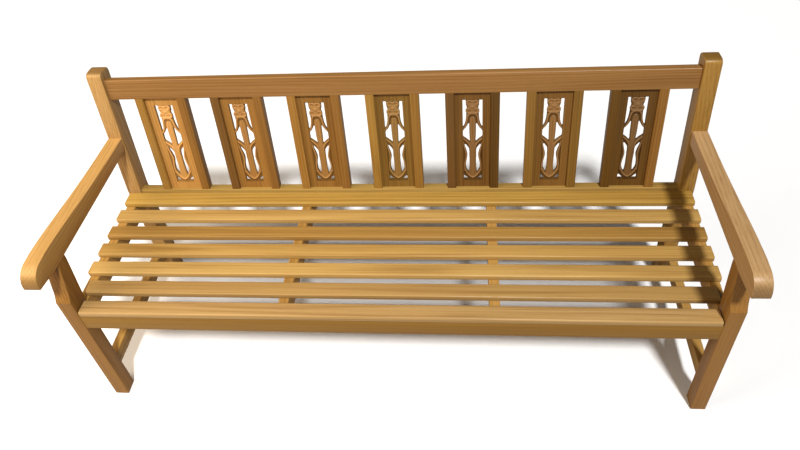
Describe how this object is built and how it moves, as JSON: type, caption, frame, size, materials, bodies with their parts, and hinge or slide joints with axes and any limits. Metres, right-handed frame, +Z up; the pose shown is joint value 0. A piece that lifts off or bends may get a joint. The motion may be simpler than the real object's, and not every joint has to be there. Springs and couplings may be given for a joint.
{
  "type": "church pew",
  "caption": "Long slatted wooden pew with raked back, pierced carved flower panels between stiles, swept front legs, rounded armrests and low side stretchers.",
  "frame": {"origin": "bottom centre of the bounding box, on the floor midway between the ends and midway front to back", "axes": "+X along the pew, to the right when facing its front, +Y from the front edge towards the back, +Z up"},
  "size_m": [1.9, 0.6872, 0.89],
  "materials": {
    "wood_leg": "sanded hardwood with a thin satin oil",
    "wood_post": "sanded hardwood with a thin satin oil",
    "wood_arm": "sanded hardwood with a thin satin oil",
    "wood_frame": "sanded hardwood with a thin satin oil",
    "wood_top_rail": "sanded hardwood with a thin satin oil",
    "wood_slat": "sanded hardwood with a thin satin oil",
    "wood_carved": "sanded hardwood with a thin satin oil",
    "wood_stile": "sanded hardwood with a thin satin oil",
    "steel_screw": "plain screw steel"
  },
  "bodies": {
    "root": {"armrest_left": "wood_arm", "armrest_right": "wood_arm", "back_stile_1": "wood_stile", "back_stile_10": "wood_stile", "back_stile_11": "wood_stile", "back_stile_12": "wood_stile", "back_stile_13": "wood_stile", "back_stile_14": "wood_stile", "back_stile_2": "wood_stile", "back_stile_3": "wood_stile", "back_stile_4": "wood_stile", "back_stile_5": "wood_stile", "back_stile_6": "wood_stile", "back_stile_7": "wood_stile", "back_stile_8": "wood_stile", "back_stile_9": "wood_stile", "carved_panel_1": "wood_carved", "carved_panel_2": "wood_carved", "carved_panel_3": "wood_carved", "carved_panel_4": "wood_carved", "carved_panel_5": "wood_carved", "carved_panel_6": "wood_carved", "carved_panel_7": "wood_carved", "front_leg_left": "wood_leg", "front_leg_right": "wood_leg", "front_seat_rail": "wood_frame", "lower_back_rail": "wood_frame", "rear_post_left": "wood_post", "rear_post_right": "wood_post", "seat_bearer_left": "wood_frame", "seat_bearer_right": "wood_frame", "seat_screws": "steel_screw", "seat_slat_1": "wood_slat", "seat_slat_2": "wood_slat", "seat_slat_3": "wood_slat", "seat_slat_4": "wood_slat", "seat_slat_5": "wood_slat", "seat_slat_6": "wood_slat", "seat_slat_7": "wood_slat", "side_seat_rail_left": "wood_frame", "side_seat_rail_right": "wood_frame", "side_stretcher_left": "wood_frame", "side_stretcher_right": "wood_frame", "top_back_rail": "wood_top_rail"}
  },
  "joints": []
}
